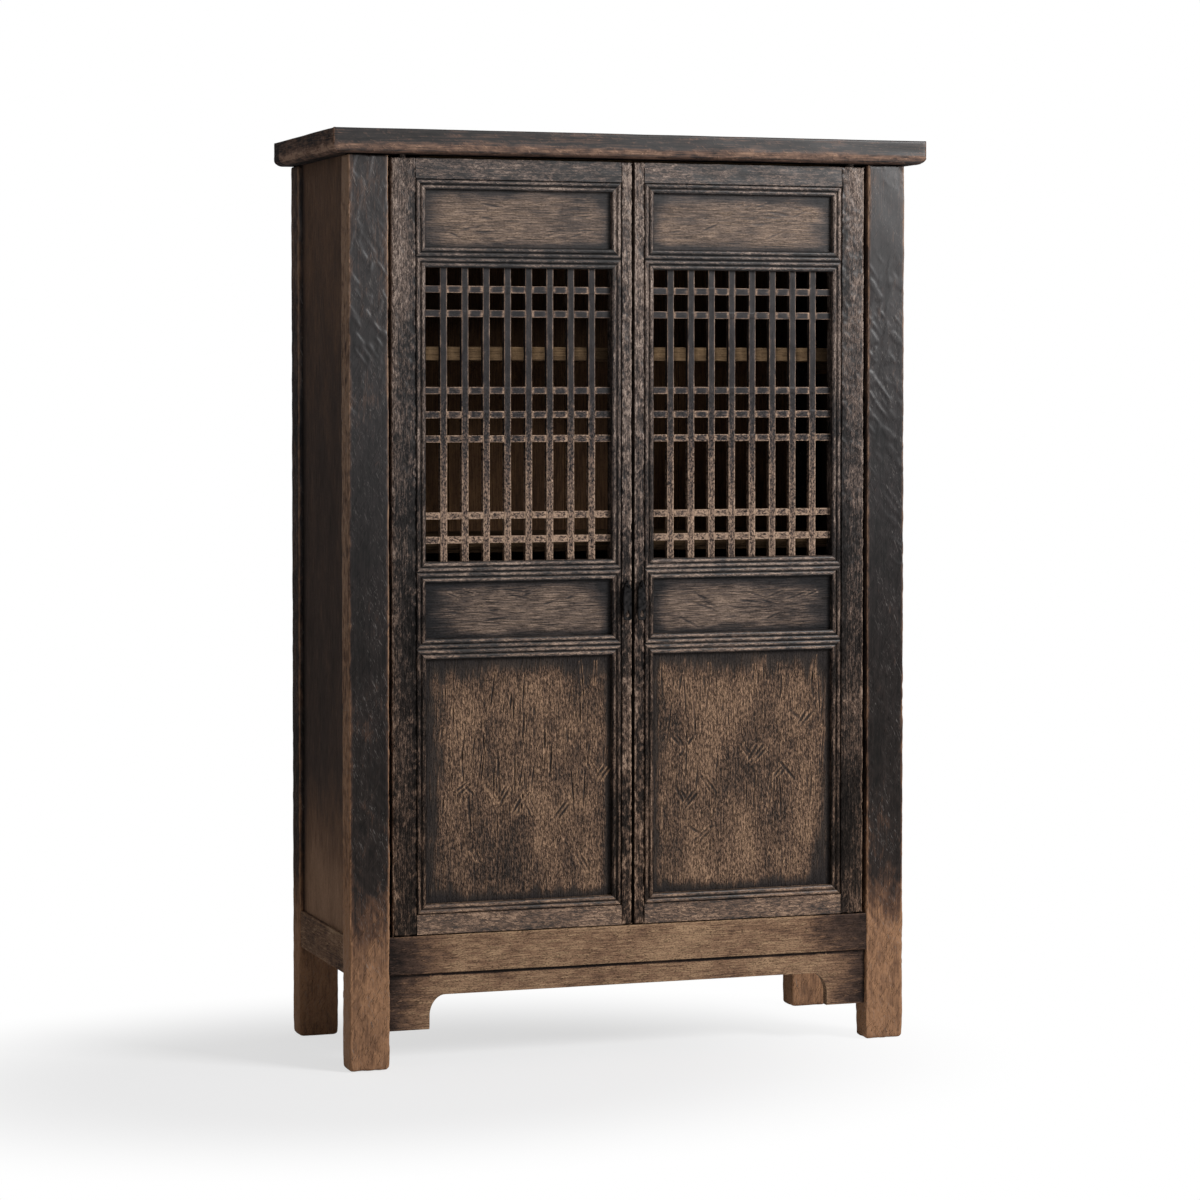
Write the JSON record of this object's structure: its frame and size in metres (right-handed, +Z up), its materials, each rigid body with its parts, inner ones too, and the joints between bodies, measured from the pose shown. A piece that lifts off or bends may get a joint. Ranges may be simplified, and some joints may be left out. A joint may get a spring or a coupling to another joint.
{
  "type": "book cabinet",
  "caption": "Tall dark wooden book cabinet on legs: frame-and-panel doors on wooden pivots, with lattice uppers, iron tab pulls, shelves and a shaped apron.",
  "frame": {"origin": "on the floor, under the middle of the top", "axes": "+Z up, the doors face -Y, +X to the right of someone facing the front"},
  "size_m": [1.24, 0.488, 1.83],
  "materials": {
    "dark_stained_wood": "dark espresso stain, hand-cut marks, worn to brown along edges and low down",
    "plain_inner_wood": "old unstained inner boards, dull brown",
    "black_iron": "forged, blackened, rubbed at the edges"
  },
  "bodies": {
    "carcass": {"right_front_post": "dark_stained_wood", "left_front_post": "dark_stained_wood", "right_back_post": "dark_stained_wood", "left_back_post": "dark_stained_wood", "front_bottom_rail": "dark_stained_wood", "back_bottom_rail": "dark_stained_wood", "right_side_bottom_rail": "dark_stained_wood", "left_side_bottom_rail": "dark_stained_wood", "front_apron": "dark_stained_wood", "right_side_panel": "dark_stained_wood", "left_side_panel": "dark_stained_wood", "back_boards": "plain_inner_wood", "bottom_boards": "plain_inner_wood", "lower_shelf": "plain_inner_wood", "middle_shelf": "plain_inner_wood", "upper_shelf": "plain_inner_wood", "right_shelf_cleats": "plain_inner_wood", "left_shelf_cleats": "plain_inner_wood", "top_frame_front": "dark_stained_wood", "top_frame_back": "dark_stained_wood", "right_top_frame_end": "dark_stained_wood", "left_top_frame_end": "dark_stained_wood", "top_panel": "dark_stained_wood", "top_braces": "plain_inner_wood", "door_stop": "plain_inner_wood"},
    "right_door": {"right_door_hinge_stile": "dark_stained_wood", "right_door_meeting_stile": "dark_stained_wood", "right_door_top_rail": "dark_stained_wood", "right_door_bottom_rail": "dark_stained_wood", "right_door_upper_cross_rail": "dark_stained_wood", "right_door_middle_cross_rail": "dark_stained_wood", "right_door_lower_cross_rail": "dark_stained_wood", "right_door_upper_panel": "dark_stained_wood", "right_door_waist_panel": "dark_stained_wood", "right_door_lower_panel": "dark_stained_wood", "right_lattice_uprights": "dark_stained_wood", "right_lattice_crossbars": "dark_stained_wood", "right_pull_pin": "black_iron"},
    "left_door": {"left_door_hinge_stile": "dark_stained_wood", "left_door_meeting_stile": "dark_stained_wood", "left_door_top_rail": "dark_stained_wood", "left_door_bottom_rail": "dark_stained_wood", "left_door_upper_cross_rail": "dark_stained_wood", "left_door_middle_cross_rail": "dark_stained_wood", "left_door_lower_cross_rail": "dark_stained_wood", "left_door_upper_panel": "dark_stained_wood", "left_door_waist_panel": "dark_stained_wood", "left_door_lower_panel": "dark_stained_wood", "left_lattice_uprights": "dark_stained_wood", "left_lattice_crossbars": "dark_stained_wood", "left_pull_pin": "black_iron"},
    "right_pull": {"right_pull_tab": "black_iron"},
    "left_pull": {"left_pull_tab": "black_iron"}
  },
  "joints": [
    {"name": "right_door_hinge", "type": "hinge", "parent": "carcass", "child": "right_door", "pos_m": [0.4704, -0.198, 0.262], "axis": [0, 0, 1], "range_deg": [0, 120]},
    {"name": "left_door_hinge", "type": "hinge", "parent": "carcass", "child": "left_door", "pos_m": [-0.4704, -0.198, 0.262], "axis": [0, 0, -1], "range_deg": [0, 120]},
    {"name": "right_pull_swing", "type": "hinge", "parent": "right_door", "child": "right_pull", "pos_m": [0.015, -0.221, 0.9415], "axis": [-1, 0, 0], "range_deg": [-4, 110]},
    {"name": "left_pull_swing", "type": "hinge", "parent": "left_door", "child": "left_pull", "pos_m": [-0.015, -0.221, 0.9415], "axis": [-1, 0, 0], "range_deg": [-4, 110]}
  ]
}
